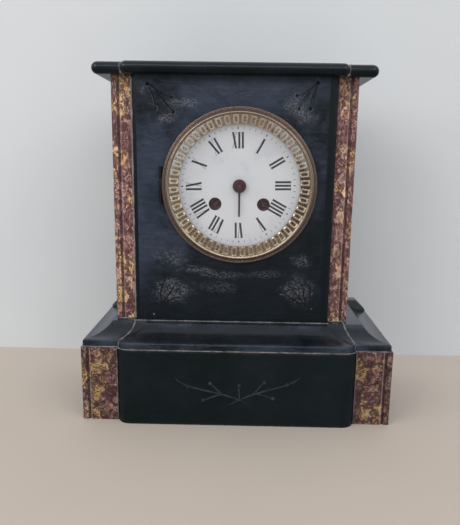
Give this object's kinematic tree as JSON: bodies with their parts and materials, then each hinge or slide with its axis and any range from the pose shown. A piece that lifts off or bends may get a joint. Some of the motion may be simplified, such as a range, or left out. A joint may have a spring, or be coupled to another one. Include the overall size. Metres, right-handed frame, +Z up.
{
  "type": "mantel clock",
  "caption": "Black slate mantel clock with marble pilasters, a hollow-moulded plinth, a round brass bezel, enamel dial and a striking pendulum movement on a bell.",
  "frame": {"origin": "middle of the footprint, on the surface that the clock stands on", "axes": "+X to the right as one faces the dial, +Y to the back, +Z up"},
  "size_m": [0.281, 0.1392, 0.3184],
  "materials": {
    "slate": "polished, dusty with age",
    "marble": "polished, mottled",
    "bezel_brass": "tarnished",
    "gilt": "bright gilt",
    "glass": "clear",
    "enamel": "glossy white",
    "hand": "dark",
    "brass": "lacquered",
    "steel": "brushed",
    "spring_steel": "blued",
    "bell_metal": "turned"
  },
  "bodies": {
    "case": {"base_front_block": "slate", "base_side_left": "slate", "base_side_right": "slate", "base_back_slab": "slate", "moulding_center": "slate", "moulding_left": "slate", "moulding_right": "slate", "front_panel": "slate", "side_panel_left": "slate", "side_panel_right": "slate", "case_back": "slate", "cornice_center": "slate", "cornice_left": "slate", "cornice_right": "slate", "base_marble_left": "marble", "base_marble_right": "marble", "pilaster_left": "marble", "pilaster_right": "marble", "bezel_ring": "bezel_brass", "hinge_pin": "bezel_brass", "enamel_dial": "enamel", "back_ring": "brass", "back_hinge_pin": "bezel_brass", "case_straps": "steel", "case_screws": "steel", "front_plate": "brass", "back_plate": "brass", "plate_pillars": "brass", "pendulum_cock": "brass", "suspension_spring": "spring_steel", "bell": "bell_metal", "bell_post": "steel"},
    "bezel_door": {"door_rim": "bezel_brass", "door_glass": "glass", "gilt_slip": "gilt"},
    "back_door": {"back_cover": "brass"},
    "center": {"center_arbor": "brass", "cannon_pinion": "brass"},
    "minute": {"minute_wheel": "brass"},
    "hour": {"hour_wheel": "brass", "hour_hand": "hand"},
    "second": {"second_wheel": "brass"},
    "third": {"third_wheel": "brass"},
    "escape": {"escape_wheel": "brass"},
    "going_drum": {"going_barrel": "brass", "going_spring": "spring_steel"},
    "going_winder": {"going_arbor": "steel"},
    "going_pawl": {"going_click": "steel"},
    "strike_drum": {"strike_barrel": "brass", "strike_spring": "spring_steel"},
    "strike_winder": {"strike_arbor": "steel"},
    "strike_pawl": {"strike_click": "steel"},
    "count": {"count_wheel": "brass"},
    "pins": {"pin_wheel": "brass"},
    "locking": {"locking_wheel": "brass"},
    "fly": {"strike_fly": "steel"},
    "hammer": {"hammer": "steel"},
    "anchor": {"pallet_anchor": "steel"},
    "pendulum": {"pendulum_rod": "steel", "pendulum_bob": "brass"}
  },
  "joints": [
    {"name": "bezel_door_hinge", "type": "hinge", "parent": "case", "child": "bezel_door", "pos_m": [-0.07, -0.0393, 0.214], "axis": [0, 0, -1], "range_deg": [0, 110]},
    {"name": "back_door_hinge", "type": "hinge", "parent": "case", "child": "back_door", "pos_m": [-0.0531, 0.065, 0.214], "axis": [0, 0, 1], "range_deg": [0, 110]},
    {"name": "center_turn", "type": "hinge", "parent": "case", "child": "center", "pos_m": [0, 0, 0.214], "axis": [0, 1, 0], "continuous": true},
    {"name": "minute_turn", "type": "hinge", "parent": "case", "child": "minute", "pos_m": [0, 0, 0.226], "axis": [0, 1, 0], "continuous": true},
    {"name": "hour_turn", "type": "hinge", "parent": "case", "child": "hour", "pos_m": [0, 0, 0.214], "axis": [0, 1, 0], "continuous": true},
    {"name": "second_turn", "type": "hinge", "parent": "case", "child": "second", "pos_m": [0.01537, 0, 0.21743], "axis": [0, 1, 0], "continuous": true},
    {"name": "third_turn", "type": "hinge", "parent": "case", "child": "third", "pos_m": [0, 0, 0.2294], "axis": [0, 1, 0], "continuous": true},
    {"name": "escape_turn", "type": "hinge", "parent": "case", "child": "escape", "pos_m": [0, 0, 0.24172], "axis": [0, 1, 0], "continuous": true},
    {"name": "going_drum_turn", "type": "hinge", "parent": "case", "child": "going_drum", "pos_m": [0.022, 0, 0.1975], "axis": [0, 1, 0], "continuous": true},
    {"name": "going_winder_turn", "type": "hinge", "parent": "case", "child": "going_winder", "pos_m": [0.022, 0, 0.1975], "axis": [0, 1, 0], "continuous": true},
    {"name": "going_pawl_lift", "type": "hinge", "parent": "case", "child": "going_pawl", "pos_m": [0.02675, 0, 0.18927], "axis": [0, -1, 0], "range_deg": [0, 12], "stiffness_Nm_per_rad": 0.0005},
    {"name": "strike_drum_turn", "type": "hinge", "parent": "case", "child": "strike_drum", "pos_m": [-0.022, 0, 0.1975], "axis": [0, 1, 0], "continuous": true},
    {"name": "strike_winder_turn", "type": "hinge", "parent": "case", "child": "strike_winder", "pos_m": [-0.022, 0, 0.1975], "axis": [0, 1, 0], "continuous": true},
    {"name": "strike_pawl_lift", "type": "hinge", "parent": "case", "child": "strike_pawl", "pos_m": [-0.02675, 0, 0.18927], "axis": [0, -1, 0], "range_deg": [0, 12], "stiffness_Nm_per_rad": 0.0005},
    {"name": "count_turn", "type": "hinge", "parent": "case", "child": "count", "pos_m": [-0.01537, 0, 0.21743], "axis": [0, 1, 0], "continuous": true},
    {"name": "pins_turn", "type": "hinge", "parent": "case", "child": "pins", "pos_m": [-0.01999, 0, 0.23191], "axis": [0, 1, 0], "continuous": true},
    {"name": "locking_turn", "type": "hinge", "parent": "case", "child": "locking", "pos_m": [-0.01199, 0, 0.24241], "axis": [0, 1, 0], "continuous": true},
    {"name": "fly_turn", "type": "hinge", "parent": "case", "child": "fly", "pos_m": [-0.021, 0, 0.2476], "axis": [0, 1, 0], "continuous": true},
    {"name": "hammer_lift", "type": "hinge", "parent": "case", "child": "hammer", "pos_m": [-0.036, 0, 0.234], "axis": [0, -1, 0], "range_deg": [0, 12], "stiffness_Nm_per_rad": 0.02, "springref_deg": -2.86},
    {"name": "pendulum_swing", "type": "hinge", "parent": "case", "child": "pendulum", "pos_m": [0, 0, 0.25272], "axis": [0, 1, 0], "range_deg": [-4, 4], "deforming": ["suspension_spring"]},
    {"name": "anchor_rock", "type": "hinge", "parent": "case", "child": "anchor", "pos_m": [0, 0, 0.25272], "axis": [0, 1, 0], "range_deg": [-4, 4]}
  ],
  "couplings": [
    {"joint": "minute_turn", "follows": "center_turn", "ratio": -0.33333},
    {"joint": "hour_turn", "follows": "center_turn", "ratio": 0.083333},
    {"joint": "second_turn", "follows": "center_turn", "ratio": -0.16667},
    {"joint": "going_drum_turn", "follows": "center_turn", "ratio": 0.027778},
    {"joint": "third_turn", "follows": "center_turn", "ratio": -10},
    {"joint": "escape_turn", "follows": "center_turn", "ratio": 100},
    {"joint": "locking_turn", "follows": "pins_turn", "ratio": -10},
    {"joint": "count_turn", "follows": "pins_turn", "ratio": -0.11111},
    {"joint": "strike_drum_turn", "follows": "pins_turn", "ratio": 0.018519},
    {"joint": "fly_turn", "follows": "pins_turn", "ratio": 80},
    {"joint": "anchor_rock", "follows": "pendulum_swing", "ratio": 1}
  ]
}
